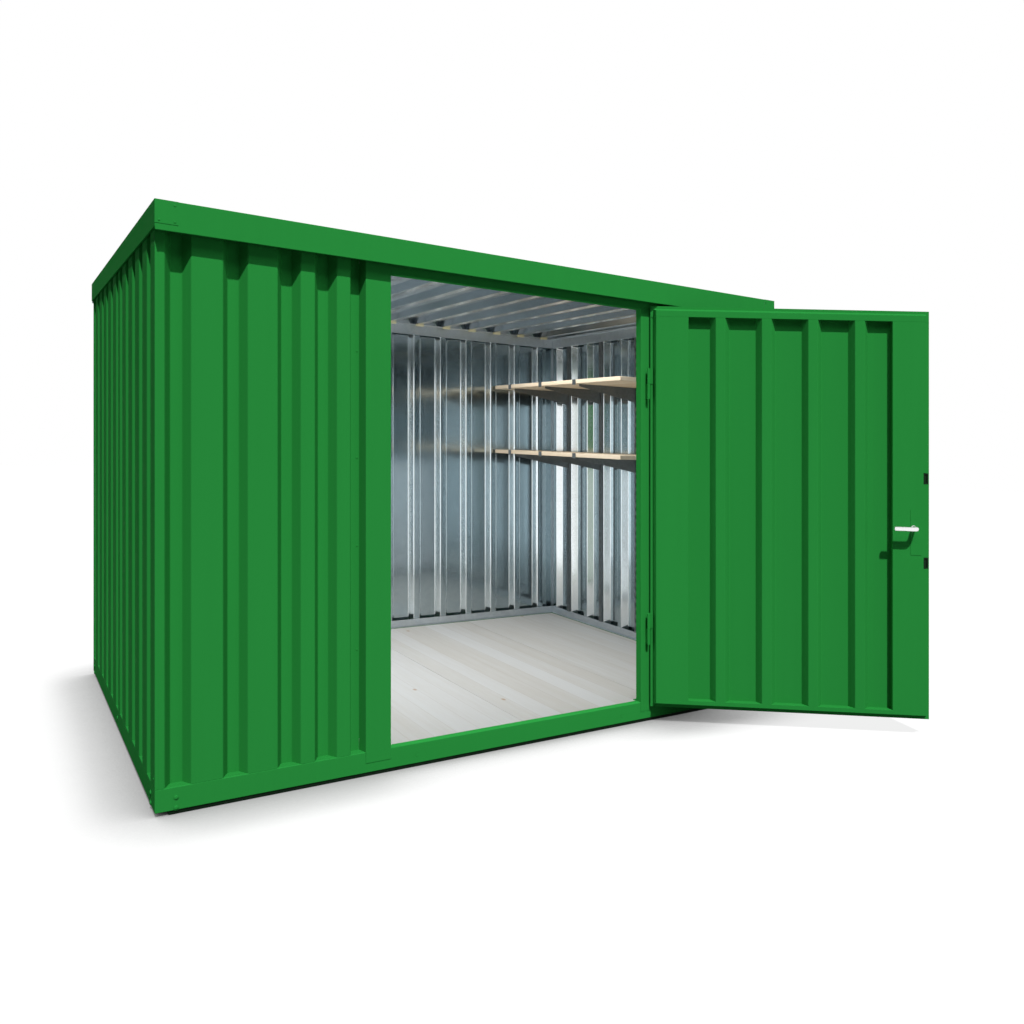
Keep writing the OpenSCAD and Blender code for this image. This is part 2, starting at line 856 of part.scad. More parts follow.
// slotted channels that are screwed to the right wall's ribs
module shelf_uprights() {
    low = base_top + floor_angle_h + eps;
    channel = [[upright_d, 0], [0, 0], [0, upright_w], [upright_d, upright_w]];
    color(zinc)
        for (i = [0:upright_count - 1])
            translate([shelf_back_x, upright_y(i) - upright_w / 2, low])
                linear_extrude(rail_bottom - eps - low)
                    polygon(folded(channel, -upright_t));
}

module shelf_brackets() {
    reach = shelf_d * bracket_reach;
    color(zinc)
        for (i = [0:upright_count - 1], z = [shelf_low_z, shelf_high_z])
            translate([shelf_back_x, upright_y(i) + bracket_t / 2, z - shelf_t])
                rotate([90, 0, 0])
                    linear_extrude(bracket_t)
                        polygon([[0, 0], [-reach, 0], [-reach, -bracket_tip_h], [0, -bracket_h]]);
}

base_runners();
base_rail_front();
base_rail_back();
base_rail_left();
base_rail_right();
floor_joists();
floor_boards();
floor_edge_angles();
corner_post_front_left();
corner_post_front_right();
corner_post_back_left();
corner_post_back_right();
front_wall_left();
front_wall_right();
left_wall();
right_wall();
back_wall();
door_post_left();
door_post_right();
door_head();
top_rail_front();
top_rail_back();
top_rail_left();
top_rail_right();
roof_sheet();
fascia_front();
fascia_back();
fascia_left();
fascia_right();
frame_hinges();
shelf_lower();
shelf_upper();
shelf_uprights();
shelf_brackets();
leaf_top_bar();
leaf_bottom_bar();
leaf_hinge_stile();
leaf_lock_stile();
leaf_sheet();
leaf_hinges();
lock_plate();
lever_inside();
lever_outside();
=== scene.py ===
import math

import bmesh
import bpy
from mathutils import Matrix, Vector


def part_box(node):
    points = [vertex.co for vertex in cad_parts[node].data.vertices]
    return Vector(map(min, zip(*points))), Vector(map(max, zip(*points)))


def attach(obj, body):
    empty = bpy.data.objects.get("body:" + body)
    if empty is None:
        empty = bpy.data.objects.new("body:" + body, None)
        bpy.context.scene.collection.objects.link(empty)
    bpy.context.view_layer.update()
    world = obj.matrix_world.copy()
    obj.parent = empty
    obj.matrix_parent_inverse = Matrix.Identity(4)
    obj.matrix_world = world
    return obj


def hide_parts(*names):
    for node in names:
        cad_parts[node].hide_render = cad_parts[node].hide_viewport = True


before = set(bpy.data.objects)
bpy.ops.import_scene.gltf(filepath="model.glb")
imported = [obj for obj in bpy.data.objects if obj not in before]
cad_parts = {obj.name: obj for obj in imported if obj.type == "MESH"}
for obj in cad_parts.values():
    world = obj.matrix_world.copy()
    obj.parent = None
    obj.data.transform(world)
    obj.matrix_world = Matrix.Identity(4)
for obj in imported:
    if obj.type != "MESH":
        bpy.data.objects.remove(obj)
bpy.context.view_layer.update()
bpy.ops.object.select_all(action="DESELECT")


# ---- Camera ----
# It stands level in front of the store's left corner, at eye height, and turns
# towards the doorway. Upright edges stay parallel, as with an architect's lens.

view_point = Vector((-1.998, -4.326, 1.353))
view_turn = math.radians(33.66)
view_lean = 0.0299

camera_data = bpy.data.cameras.new("view_camera")
camera_data.sensor_width = 36
camera_data.lens = 30.33
camera_data.shift_x = -0.0503
camera_data.shift_y = -0.0678
camera = bpy.data.objects.new("view_camera", camera_data)
camera_stand = bpy.data.objects.new("camera_stand", None)
for item in (camera, camera_stand):
    bpy.context.scene.collection.objects.link(item)
camera.parent = camera_stand
camera.matrix_parent_inverse = Matrix((
    (math.cos(view_turn), 0, -math.sin(view_turn), view_point.x),
    (-math.sin(view_turn), 0, -math.cos(view_turn), view_point.y),
    (view_lean, 1, 0, view_point.z),
    (0, 0, 0, 1),
))
bpy.context.scene.camera = camera
bpy.context.scene.view_settings.view_transform = "Standard"


# ---- Light ----
# A sun high in front, a little to the left, with dim broad lamps above the door, on
# the right and behind. A panel under the roof lights the room, and two more give its
# zinc sheets something pale to mirror.

def hang(data, place, way, mirrored=False):
    """Puts a light at its place, shining this way. Only a mirrored one shows in shine."""
    made = bpy.data.objects.new(data.name, data)
    made.location = place
    made.rotation_mode = "QUATERNION"
    made.rotation_quaternion = Vector(way).to_track_quat("-Z", "Y")
    made.visible_camera = False
    made.visible_glossy = mirrored
    bpy.context.scene.collection.objects.link(made)
    return made


def lamp(name, power, size, place, aim, mirrored=False):
    """A broad flat lamp that faces its aim."""
    data = bpy.data.lights.new(name, "AREA")
    data.shape = "RECTANGLE"
    data.energy = power
    data.size = size[0]
    data.size_y = size[1]
    return hang(data, place, Vector(aim) - Vector(place), mirrored)


sun_way = (0.153, 0.574, -0.804)
sun_data = bpy.data.lights.new("sun", "SUN")
sun_data.energy = 4.2
sun_data.angle = 0.025
sun = hang(sun_data, (-2, -8, 12), sun_way)
lamp("upper_softener", 60, (4, 1.5), (-0.5, -4.6, 5.2), (0, -1, 1.7))
lamp("right_softener", 90, (4, 3.5), (5.5, -8.2, 2.2), (0.4, -1, 1.1))
lamp("back_softener", 320, (5, 4), (5, 8, 4), (0, 1, 1.1))
lamp("room_panel", 17, (2.2, 1.5), (-0.1, -0.1, 1.98), (-0.1, -0.1, 0))
board_panel = lamp("board_panel", 14.5, (2.2, 1.5), (-0.1, -0.1, 1.97), (-0.1, -0.1, 0))
lamp("left_room_panel", 14, (1.8, 1.8), (-1.40, 0.02, 1.05), (0, 0.02, 1.05), mirrored=True)
lamp("low_room_panel", 0.8, (0.75, 1.0), (1.07, -0.95, 0.65), (1.07, 0, 0.65), mirrored=True)

# The sun would throw a hard patch of light through the doorway, so the floor panels
# and the shelves are left to the room's lamps. The board panel lights nothing else.
out_of_the_sun = bpy.data.collections.new("out_of_the_sun")
boards_lit = bpy.data.collections.new("boards_lit")
sun.light_linking.receiver_collection = out_of_the_sun
board_panel.light_linking.receiver_collection = boards_lit


def keep_in_room_light(piece):
    boards_lit.objects.link(piece)
    out_of_the_sun.objects.link(piece)
    out_of_the_sun.collection_objects[-1].light_linking.link_state = "EXCLUDE"


# ---- Studio floor and backdrop ----
# A white floor without an edge, and white all round. The floor keeps the soft shadow
# where the store stands, and throws back only a little light, so that the walls'
# undersides stay dark.

class Flow:
    """A socket of a finish. Sums and products of flows add their Math nodes."""

    def __init__(self, finish, socket):
        self.finish = finish
        self.socket = socket

    def math(self, operation, first, second=0.0):
        return self.finish.node("ShaderNodeMath", {"operation": operation},
                                {0: first, 1: second})

    def __add__(self, other):
        return self.math("ADD", self, other)

    def __sub__(self, other):
        return self.math("SUBTRACT", self, other)

    def __rsub__(self, other):
        return self.math("SUBTRACT", other, self)

    def __mul__(self, other):
        return self.math("MULTIPLY", self, other)

    def __truediv__(self, other):
        return self.math("DIVIDE", self, other)

    __radd__ = __add__
    __rmul__ = __mul__

    def whole(self):
        return self.math("FLOOR", self)

    def size(self):
        return self.math("ABSOLUTE", self)

    def most(self, other):
        return self.math("MAXIMUM", self, other)

    def root(self):
        return self.math("SQRT", self)

    def power(self, other):
        return self.math("POWER", self, other)

    def eased(self, low, high):
        return self.finish.node("ShaderNodeMapRange", {"interpolation_type": "SMOOTHSTEP"},
                                {"Value": self, "From Min": low, "From Max": high})


class Finish:
    """A procedural material, on one Principled shader with constants of its own."""

    def __init__(self, name, **constants):
        self.material = bpy.data.materials.new(name)
        self.material.use_nodes = True
        self.tree = self.material.node_tree
        self.shader = self.tree.nodes["Principled BSDF"]
        self.surface = self.tree.nodes["Material Output"].inputs["Surface"]
        for socket_name, value in constants.items():
            self.shader.inputs[socket_name.replace("_", " ")].default_value = value

    def feed(self, socket, value):
        if isinstance(value, Flow):
            self.tree.links.new(value.socket, socket)
        else:
            socket.default_value = value

    def node(self, kind, settings=None, inputs=None, output=0):
        made = self.tree.nodes.new(kind)
        for name, value in (settings or {}).items():
            setattr(made, name, value)
        for name, value in (inputs or {}).items():
            self.feed(made.inputs[name], value)
        return Flow(self, made.outputs[output])

    def place(self):
        return self.node("ShaderNodeTexCoord", output="Object")

    def facing(self):
        return self.node("ShaderNodeTexCoord", output="Normal")

    def seen_rays(self):
        """1 for what the camera sees, also in shine or through glass."""
        return (self.node("ShaderNodeLightPath", output="Is Camera Ray")
                + self.node("ShaderNodeLightPath", output="Is Glossy Ray")
                + self.node("ShaderNodeLightPath", output="Is Transmission Ray"))

    def axes(self, vector):
        return [self.node("ShaderNodeSeparateXYZ", None, {"Vector": vector}, output=i)
                for i in range(3)]

    def noise(self, vector, scale, detail=2.0, roughness=0.5):
        return self.node("ShaderNodeTexNoise", None,
                         {"Vector": vector, "Scale": scale, "Detail": detail,
                          "Roughness": roughness})

    def stretched(self, vector, scale):
        return self.node("ShaderNodeMapping", None, {"Vector": vector, "Scale": scale})

    def blend(self, factor, low, high):
        return self.node("ShaderNodeMix", {"data_type": "RGBA"},
                         {0: factor, 6: low, 7: high}, output=2)

    def use(self, **flows):
        for socket_name, value in flows.items():
            self.feed(self.shader.inputs[socket_name.replace("_", " ")], value)

    def bump(self, height, strength, distance):
        self.use(Normal=self.node("ShaderNodeBump", None,
                                  {"Strength": strength, "Distance": distance, "Height": height}))


class Backdrop(Finish):
    """The world, with nodes that are wired as a finish's are."""

    def __init__(self, name):
        self.world = bpy.data.worlds.new(name)
        self.world.use_nodes = True
        self.tree = self.world.node_tree
        self.tree.nodes.remove(self.tree.nodes["Background"])
        self.surface = self.tree.nodes["World Output"].inputs["Surface"]


fill_tone = (0.92, 0.96, 1, 1)
fill_strength = 0.06
backdrop = Backdrop("backdrop_world")
bpy.context.scene.world = backdrop.world
fill = backdrop.node("ShaderNodeBackground", None, {"Color": fill_tone, "Strength": fill_strength})
white = backdrop.node("ShaderNodeBackground", None, {"Color": (1, 1, 1, 1)})
either = backdrop.node("ShaderNodeMixShader", None, {0: backdrop.seen_rays(), 1: fill, 2: white})
backdrop.feed(backdrop.surface, either)

floor_reach = 60
floor_glow = 0.84
floor_grey = (0.16, 0.16, 0.16, 1)
shadow_reach = 0.36
shadow_depth = 1.7
shadow_band = (0.16, 0.42)
stand_low, stand_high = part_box("base_runners")
bpy.ops.mesh.primitive_plane_add(size=floor_reach)
studio_floor = bpy.context.object
studio_floor.name = "studio_floor"
floor_white = Finish("studio_white", Roughness=1.0)
openness = floor_white.node("ShaderNodeAmbientOcclusion", {"samples": 8},
                            {"Distance": shadow_reach}, output="AO")
east, north, _ = floor_white.axes(floor_white.place())
past_x = ((east - (stand_low.x + stand_high.x) / 2).size()
          - (stand_high.x - stand_low.x) / 2).most(0.0)
past_y = ((north - (stand_low.y + stand_high.y) / 2).size()
          - (stand_high.y - stand_low.y) / 2).most(0.0)
near = 1 - (past_x * past_x + past_y * past_y).root().eased(*shadow_band)
openness = 1 - near * (1 - openness.power(shadow_depth))
glow = floor_white.node("ShaderNodeEmission", None, {"Color": openness, "Strength": floor_glow})
catch = floor_white.node("ShaderNodeBsdfDiffuse", None, {"Color": floor_grey})
both = floor_white.node("ShaderNodeAddShader", None, {0: glow, 1: catch})
shown = floor_white.node("ShaderNodeMixShader", None,
                         {0: floor_white.seen_rays(), 1: catch, 2: both})
floor_white.feed(floor_white.surface, shown)
studio_floor.data.materials.append(floor_white.material)


# ---- Base frame ----
# Four rails of folded steel channel, mitred and bolted at the corners, painted
# green. The bends are rounded by the press brake, and the paint rolls over them.

green_tones = ((0.0164, 0.201, 0.0348, 1), (0.0190, 0.225, 0.0397, 1))
green = Finish("green_paint", Specular_IOR_Level=0.001, IOR=1.45)
around = green.place()
cloud = green.noise(around, 0.9, 3.0)
streak = green.noise(green.stretched(around, (1, 1, 0.04)), 26.0, 3.0)
green.use(
    Base_Color=green.blend(0.55 * cloud + 0.45 * streak, *green_tones),
    Roughness=0.55 + 0.12 * green.noise(around, 7.0, 4.0),
)
green.bump(green.noise(around, 420.0, 1.0), 0.05, 0.0001)

merge_gap = 0.00001
flat_angle = math.radians(0.6)
fold_angle = math.radians(18)
smooth_angle = math.radians(36)


def only(piece):
    """Makes this piece the one that is selected and active."""
    bpy.ops.object.select_all(action="DESELECT")
    piece.select_set(True)
    bpy.context.view_layer.objects.active = piece


def pick(kind, test):
    """Selects the verts, edges or faces of the edited mesh that pass the test."""
    shape = bmesh.from_edit_mesh(bpy.context.edit_object.data)
    for item in (*shape.verts, *shape.edges, *shape.faces):
        item.select = False
    for item in getattr(shape, kind):
        if test(item):
            item.select_set(True)
    bmesh.update_edit_mesh(bpy.context.edit_object.data)


def shade(piece):
    """Smooth bends between flat faces that stay flat."""
    only(piece)
    bpy.ops.object.shade_smooth_by_angle(angle=smooth_angle)
    modifier = piece.modifiers.new("flats", "WEIGHTED_NORMAL")
    modifier.keep_sharp = True
    bpy.ops.object.modifier_apply(modifier=modifier.name)


def paint_piece(piece, finishes, body, node=None):
    piece.data.materials.clear()
    for finish in finishes:
        piece.data.materials.append(finish.material)
    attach(piece, body)
    if node:
        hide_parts(node)


def face_width(face):
    return 2 * face.calc_area() / face.calc_perimeter()


def rounded(node, radius, least=0.0035, steps=3):
    """A copy of a CAD piece with its folds and its broad faces' edges rounded."""
    piece = bpy.data.objects.new(node + "_piece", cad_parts[node].data.copy())
    bpy.context.scene.collection.objects.link(piece)
    only(piece)
    bpy.ops.mesh.customdata_custom_splitnormals_clear()
    bpy.ops.object.mode_set(mode="EDIT")
    bpy.ops.mesh.select_mode(type="EDGE")
    bpy.ops.mesh.select_all(action="SELECT")
    bpy.ops.mesh.remove_doubles(threshold=merge_gap)
    bpy.ops.mesh.dissolve_limited(angle_limit=flat_angle)
    pick("edges", lambda e: len(e.link_faces) == 2 and e.calc_face_angle(0) > fold_angle
         and min(face_width(f) for f in e.link_faces) > least)
    bpy.ops.mesh.bevel(offset=radius, offset_type="OFFSET", segments=steps, affect="EDGES",
                       clamp_overlap=True)
    bpy.ops.object.mode_set(mode="OBJECT")
    shade(piece)
    return piece


rail_bend = 0.0035
for side in ("front", "back", "left", "right"):
    node = "base_rail_" + side
    paint_piece(rounded(node, rail_bend), [green], "container", node)


# ---- Corner bolts of the base frame ----
# Galvanised round-head bolts, painted over with the frame, two at each end of
# every rail and one in the middle of the side rails.

crown_steps = ((0.45, 0.97), (0.33, 0.8), (0.22, 0.5))


def mushroom(name, radius, height, sides=20, collar=None):
    """A low round head on a thin washer, standing at the origin and facing up."""
    washer = collar or radius * 1.3
    thick = height * 0.25
    bpy.ops.mesh.primitive_cylinder_add(vertices=sides, radius=washer, depth=thick,
                                        location=(0, 0, thick / 2))
    head = bpy.context.object
    head.name = name
    bpy.ops.object.mode_set(mode="EDIT")
    bpy.ops.mesh.select_mode(type="FACE")
    pick("faces", lambda f: f.normal.z > 0.9)
    bpy.ops.mesh.inset(thickness=washer - radius)
    rise = height - thick
    for share, shrink in crown_steps:
        bpy.ops.mesh.extrude_region_move(TRANSFORM_OT_translate={"value": (0, 0, rise * share)})
        bpy.ops.transform.resize(value=(shrink, shrink, 1))
    bpy.ops.object.mode_set(mode="OBJECT")
    bpy.ops.object.transform_apply(location=True, rotation=True, scale=True)
    return head


def copy_of(pattern, name, placement):
    """A copy with a mesh of its own, which holds its place."""
    copy = bpy.data.objects.new(name, pattern.data.copy())
    copy.data.transform(placement)
    bpy.context.scene.collection.objects.link(copy)
    return copy


def fixings(name, head, places, finish):
    """Copies of a head, one at each place with its top turned outwards, as one piece."""
    copies = []
    for point, outwards in places:
        turn = Vector((0, 0, 1)).rotation_difference(Vector(outwards)).to_matrix().to_4x4()
        copies.append(copy_of(head, name, Matrix.Translation(point) @ turn))
    bpy.ops.object.select_all(action="DESELECT")
    for copy in copies:
        copy.select_set(True)
    bpy.context.view_layer.objects.active = copies[0]
    bpy.ops.object.join()
    copies[0].name = name
    shade(copies[0])
    paint_piece(copies[0], [finish], "container")


base_low, base_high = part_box("base_rail_front")
left_x, front_y = base_low.x, base_low.y
right_x = base_high.x
back_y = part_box("base_rail_back")[1].y
front, back, left, right = (0, -1, 0), (0, 1, 0), (-1, 0, 0), (1, 0, 0)
bolt_heights = (0.025, 0.061)
middle_bolt_z = 0.060
bolt_inset = 0.069
side_bolt_front = front_y + 0.0865
side_bolt_back = back_y - 0.077

bolt_head = mushroom("bolt_head", 0.0078, 0.0046)
places = []
for z in bolt_heights:
    for x in (left_x + bolt_inset, right_x - bolt_inset):
        places.append(((x, front_y, z), front))
        places.append(((x, back_y, z), back))
    for y in (side_bolt_front, side_bolt_back):
        places.append(((left_x, y, z), left))
        places.append(((right_x, y, z), right))
places.append(((left_x, 0, middle_bolt_z), left))
places.append(((right_x, 0, middle_bolt_z), right))
fixings("base_bolts", bolt_head, places, green)


# ---- Sill screws ----
# Two countersunk screws pull the front rail to the floor frame at the doorway,
# each in a shallow pressed dimple.

def dimple(name, radius, depth, sides=20):
    """A countersunk head lying a little below a raised lip, facing up."""
    bpy.ops.mesh.primitive_cylinder_add(vertices=sides, radius=radius, depth=depth,
                                        location=(0, 0, depth / 2))
    head = bpy.context.object
    head.name = name
    bpy.ops.object.mode_set(mode="EDIT")
    bpy.ops.mesh.select_mode(type="FACE")
    pick("faces", lambda f: f.normal.z > 0.9)
    bpy.ops.mesh.inset(thickness=radius * 0.12)
    bpy.ops.mesh.inset(thickness=radius * 0.35, depth=-depth * 0.6)
    bpy.ops.object.mode_set(mode="OBJECT")
    bpy.ops.object.transform_apply(location=True, rotation=True, scale=True)
    return head


sill_screw_x = 0.53
sill_screw_z = 0.052
sill_screw = dimple("sill_screw", 0.0085, 0.0012)
places = [((x, front_y, sill_screw_z), front) for x in (-sill_screw_x, sill_screw_x)]
fixings("sill_screws", sill_screw, places, green)


# ---- Runners ----
# Flat steel bars welded under the frame, scuffed dull by the ground they stand on.
# Their near-black colour is painted shade, for the shadowed strip under the frame.

# Painted shade: both tones are near black.
runner_shade_tones = ((0.003, 0.009, 0.004, 1), (0.008, 0.016, 0.009, 1))
runner_shade_paint = Finish("runner_painted_shade", Specular_IOR_Level=0.08)
around = runner_shade_paint.place()
scuff = runner_shade_paint.noise(around, 30.0, 5.0, 0.65)
runner_shade_paint.use(
    Base_Color=runner_shade_paint.blend(scuff.eased(0.35, 0.75), *runner_shade_tones),
    Roughness=0.6 + 0.25 * scuff,
)
runner_shade_paint.bump(scuff, 0.3, 0.0006)
paint_piece(rounded("base_runners", 0.002), [runner_shade_paint], "container",
            "base_runners")


# ---- Floor joists and wall foot angles ----
# Hot-dip galvanised sections, bolted inside the base frame. The zinc has a spangle
# of crystals a thumbnail wide, each with a tone and a shine of its own.

zinc_tones = ((0.5, 0.56, 0.6, 1), (0.74, 0.79, 0.83, 1))
painted_slope_band = (0.985, 0.9)
painted_slope_share = 0.35


def zinc_finish(name, grain=46.0, dull=0.0, pattern=1.0, metal=1.0, tones=zinc_tones,
                painted_slope_light=0.0):
    """Zinc. On profiled sheet, painted slope light makes the ribs' slopes lighter than the flats;
    a negative one makes the slopes darker and the flats lighter.
    """
    zinc = Finish(name, Metallic=metal)
    around = zinc.place()
    sway = zinc.node("ShaderNodeTexNoise", None, {"Vector": around, "Scale": 30.0}, output=1)
    warped = zinc.node("ShaderNodeMix", {"data_type": "VECTOR"},
                       {0: 0.008, 4: around, 5: sway}, output=1)
    crystal = zinc.node("ShaderNodeTexVoronoi", {"feature": "F1"},
                        {"Vector": warped, "Scale": grain}, output="Color")
    tone = zinc.node("ShaderNodeSeparateColor", None, {"Color": crystal}, output=0)
    lay = zinc.node("ShaderNodeSeparateColor", None, {"Color": crystal}, output=1)
    cloud = zinc.noise(around, 2.2, 3.0)
    light = 0.5 + pattern * (0.55 * tone + 0.45 * cloud - 0.5)
    # Painted light and shade: slopes and flats get their colour shifted apart, by how square each
    # face sits.
    if painted_slope_light:
        across, along, up = zinc.axes(zinc.facing())
        squareness = across.size().most(along.size()).most(up.size())
        light = light + painted_slope_light * (squareness.eased(*painted_slope_band) - painted_slope_share)
    zinc.use(
        Base_Color=zinc.blend(light, *tones),
        Roughness=0.16 + dull + 0.1 * pattern * lay + 0.04 * cloud,
    )
    zinc.bump(tone, 0.04 * pattern, 0.0002)
    return zinc


zinc = zinc_finish("galvanised_zinc", dull=0.12, pattern=0.4, metal=0.85)
for node in ("floor_joists", "floor_edge_angles"):
    paint_piece(rounded(node, 0.0015), [zinc], "container", node)


# ---- Floor angle screws ----
# Galvanised pan-head screws hold the upright leg of each angle to the ribs of the
# wall sheets, one to a rib.

pan_head = mushroom("pan_head", 0.0045, 0.0026, sides=12, collar=0.0052)
rib_pitch = 0.195
angle_low, angle_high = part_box("floor_edge_angles")
angle_thick = 0.0015
angle_screw_z = (angle_low.z + angle_high.z) / 2 + 0.004
back_ribs = [i * rib_pitch for i in range(-7, 8)]
side_ribs = [start + i * rib_pitch for start in (-0.893, 0.028) for i in range(5)]
front_ribs = [side * (0.78 + i * rib_pitch) for side in (-1, 1) for i in range(1, 4)]


def screws_round(name, low, high, thick, height):
    """Screws on the room side of the four sides of a ring, one at every rib."""
    ring = [((x, high.y - thick, height), front) for x in back_ribs]
    ring += [((x, low.y + thick, height), back) for x in front_ribs]
    ring += [((low.x + thick, y, height), right) for y in side_ribs]
    ring += [((high.x - thick, y, height), left) for y in side_ribs]
    fixings(name, pan_head, ring, zinc)


screws_round("floor_angle_screws", angle_low, angle_high, angle_thick, angle_screw_z)


# ---- Floor ----
# Four laminated softwood panels, laid front to back and lightly whitewashed. Each
# shows its glued strips, a fine grain and a few small knots.

knot_brown = (0.42, 0.27, 0.15, 1)
glue_line_brown = (0.33, 0.27, 0.2, 1)


def pine_finish(name, tones, strip):
    """Softwood with its grain along Y, glued up from strips of the width given."""
    pine = Finish(name, Specular_IOR_Level=0.3)
    around = pine.place()
    lane = pine.axes(around)[0] / strip
    strip_tone = pine.node("ShaderNodeTexWhiteNoise", {"noise_dimensions": "1D"},
                           {"W": lane.whole()})
    long_grain = pine.stretched(around, (1, 0.05, 1))
    grain = pine.noise(long_grain, 160.0, 4.0, 0.6)
    broad = pine.noise(long_grain, 22.0, 3.0, 0.55)
    edge = lane - lane.whole()
    seam = 1 - (edge.eased(0.0, 0.02) * (1 - edge.eased(0.98, 1.0)))
    wood = (0.5 * broad + 0.3 * grain + 0.35 * strip_tone).eased(0.25, 0.9)
    spot = pine.node("ShaderNodeTexVoronoi", {"feature": "F1"},
                     {"Vector": pine.stretched(around, (1, 0.55, 1)), "Scale": 4.2,
                      "Randomness": 1.0}, output="Distance")
    knot = 1 - spot.eased(0.02, 0.055)
    colour = pine.blend(wood, *tones)
    colour = pine.blend(0.75 * knot, colour, knot_brown)
    colour = pine.blend(0.35 * seam, colour, glue_line_brown)
    pine.use(Base_Color=colour, Roughness=0.52 + 0.16 * grain)
    pine.bump(0.5 * grain - seam, 0.25, 0.0004)
    return pine


floor_tones = ((0.65, 0.66, 0.66, 1), (0.57, 0.555, 0.52, 1))
floor_strip = 0.108
white_pine = pine_finish("whitewashed_pine", floor_tones, floor_strip)
panel_count = 4
panel_gap = 0.0016
panel_edge = 0.0015
floor_low, floor_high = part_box("floor_boards")
panel_pitch = (floor_high.x - floor_low.x + panel_gap) / panel_count
panel_size = Vector((panel_pitch - panel_gap, floor_high.y - floor_low.y,
                     floor_high.z - floor_low.z))


def block(name, size):
    """A box round the origin, opened for editing by its faces."""
    bpy.ops.mesh.primitive_cube_add(size=1, scale=size)
    made = bpy.context.object
    made.name = name
    bpy.ops.object.transform_apply(location=True, rotation=True, scale=True)
    bpy.ops.object.mode_set(mode="EDIT")
    bpy.ops.mesh.select_mode(type="FACE")
    return made


panel = block("floor_panel", panel_size)
bpy.ops.mesh.select_mode(type="EDGE")
pick("edges", lambda e: all(v.co.z > 0 for v in e.verts))
bpy.ops.mesh.bevel(offset=panel_edge, segments=2, affect="EDGES")
bpy.ops.object.mode_set(mode="OBJECT")
for i in range(panel_count):
    middle = Vector((floor_low.x + panel_size.x / 2 + i * panel_pitch,
                     (floor_low.y + floor_high.y) / 2, (floor_low.z + floor_high.z) / 2))
    copy = copy_of(panel, f"floor_panel_{i + 1}", Matrix.Translation(middle))
    shade(copy)
    paint_piece(copy, [white_pine], "container", "floor_boards")
    keep_in_room_light(copy)
bpy.data.objects.remove(panel)


# ---- Corner posts ----
# Narrow rolled posts between the wall sheets, painted green, each pinned to the
# base frame by a small rivet low on its side.

def line_inside(piece, outwards, edge=0.01):
    """Gives the second finish to the faces that don't look outwards."""
    for face in piece.data.polygons:
        face.material_index = 0 if face.normal.dot(Vector(outwards)) > edge else 1


for corner in ("front_left", "front_right", "back_left", "back_right"):
    node = "corner_post_" + corner
    piece = rounded(node, 0.0016, least=0.0015)
    paint_piece(piece, [green, zinc], "container", node)
    outwards = (1 if "right" in corner else -1, 1 if "back" in corner else -1, 0)
    line_inside(piece, outwards, edge=-0.5)

small_rivet = mushroom("small_rivet", 0.004, 0.0018, sides=12)
rivet_inset = 0.026
rivet_z = 0.13
rivet_ys = (front_y + rivet_inset, back_y - rivet_inset)
places = [((left_x, y, rivet_z), left) for y in rivet_ys]
places += [((right_x, y, rivet_z), right) for y in rivet_ys]
fixings("post_rivets", small_rivet, places, green)


# ---- Walls ----
# Thin profiled steel sheets, stood in the base frame. They are painted green
# outside and bare galvanised inside, with a tight radius at every fold. Inside, the
# ribs' slopes carry a painted reflection of the doorway, and the flats painted shade.

sheet_bend = 0.004
# Inside, the slope light paints a reflection on the slopes and shade on the flats.
sheet_tones = ((0.26, 0.345, 0.38, 1), (0.93, 0.98, 1, 1))
sheet_zinc = zinc_finish("galvanised_sheet", dull=-0.06, pattern=0.1, tones=sheet_tones,
                         painted_slope_light=0.7)
wall_sheets = {"front_wall_left": front, "front_wall_right": front, "left_wall": left,
               "right_wall": right, "back_wall": back}
for node, outwards in wall_sheets.items():
    piece = rounded(node, sheet_bend, steps=2)
    paint_piece(piece, [green, sheet_zinc], "container", node)
    line_inside(piece, outwards)


# ---- Doorway ----
# Folded and painted steel posts and head that frame the opening. The wall sheets
# are riveted to the posts on the floor of the groove that they share.

for node in ("door_post_left", "door_post_right", "door_head"):
    paint_piece(rounded(node, 0.0025), [green], "container", node)

front_sheet_low, front_sheet_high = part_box("front_wall_left")
sheet_thick = 0.001
lap_x = 0.772
lap_y = front_y + front_sheet_high.y - front_sheet_low.y - sheet_thick
lap_heights = (0.5, 0.916, 1.268, 1.695)
places = [((x, lap_y, z), front) for x in (-lap_x, lap_x) for z in lap_heights]
fixings("jamb_rivets", small_rivet, places, green)


# ---- Roof ----
# A profiled sheet, green above and bare zinc below, lies on four galvanised rails.
# A green folded fascia hides its edge, the side fascias lapped over the corners.

compass = {"front": front, "back": back, "left": left, "right": right}
for side, outwards in compass.items():
    node = "top_rail_" + side
    paint_piece(rounded(node, 0.002), [zinc], "container", node)
    node = "fascia_" + side
    piece = rounded(node, 0.0022, least=0.0025)
    paint_piece(piece, [green, zinc], "container", node)
    line_inside(piece, outwards, edge=-0.7)

# Below, the roof's flats are painted lighter and its ribs' slopes darker: painted light and shade.
roof_tones = ((0.22, 0.25, 0.27, 1), (1, 1, 1, 1))
roof_zinc = zinc_finish("galvanised_roof_lining", dull=0.06, pattern=0.2, metal=0.95,
                        tones=roof_tones, painted_slope_light=-1.0)
piece = rounded("roof_sheet", sheet_bend, steps=2)
paint_piece(piece, [green, roof_zinc], "container", "roof_sheet")
line_inside(piece, (0, 0, 1))

tab_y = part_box("fascia_left")[0].y
tab_rivets = ((1.460, 2.135), (1.460, 2.078), (1.511, 2.079))
places = [((side * x, tab_y, z), front) for side in (-1, 1) for x, z in tab_rivets]
fixings("fascia_rivets", small_rivet, places, green)


# ---- Roof rail screws and rib-end blocks ----
# Screws through the rails into the wall ribs and two bolts at each corner. Pale yellow
# blocks sit on the rails' flanges, one at every groove of the roof sheet, where pale
# patches show at the ribs' ends.

